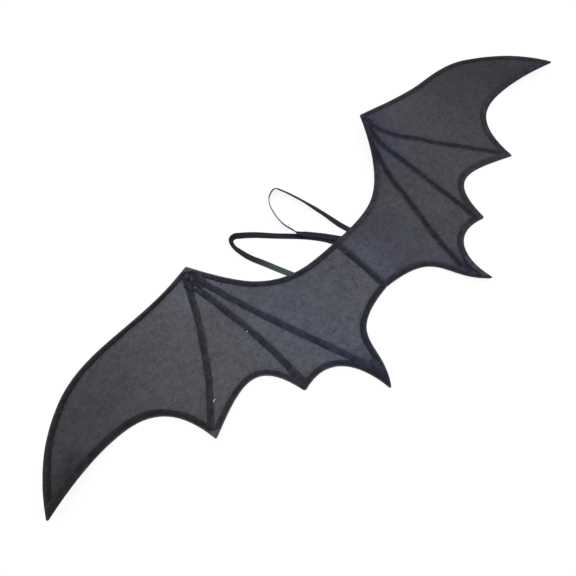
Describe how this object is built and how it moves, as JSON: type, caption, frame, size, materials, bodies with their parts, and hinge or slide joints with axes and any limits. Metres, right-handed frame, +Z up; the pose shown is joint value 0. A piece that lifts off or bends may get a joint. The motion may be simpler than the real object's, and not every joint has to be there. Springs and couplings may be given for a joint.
{
  "type": "bat wings",
  "caption": "Costume bat wings of grey felt joined by a middle seam, with raised stitched borders and ribs and flat elastic arm loops on the back.",
  "frame": {"origin": "centre of the underside: the middle of the bounding box in X and Y, on the surface that the wings lie on", "axes": "+X out along the right wing, +Y towards the shoulder spikes and arm loops, +Z up out of the stitched face"},
  "size_m": [0.8964, 0.292, 0.0229],
  "materials": {
    "felt_left": "matt pressed felt",
    "felt_right": "matt pressed felt",
    "stitching": "dense satin stitch",
    "elastic": "flat woven elastic"
  },
  "bodies": {
    "root": {"felt_panel_left": "felt_left", "felt_panel_right": "felt_right", "edge_stitch_left": "stitching", "edge_stitch_right": "stitching", "rib_left_outer": "stitching", "rib_left_middle": "stitching", "rib_left_inner": "stitching", "rib_right_outer": "stitching", "rib_right_middle": "stitching", "rib_right_inner": "stitching", "center_seam": "stitching", "arm_strap_left": "elastic", "arm_strap_right": "elastic"}
  },
  "joints": []
}
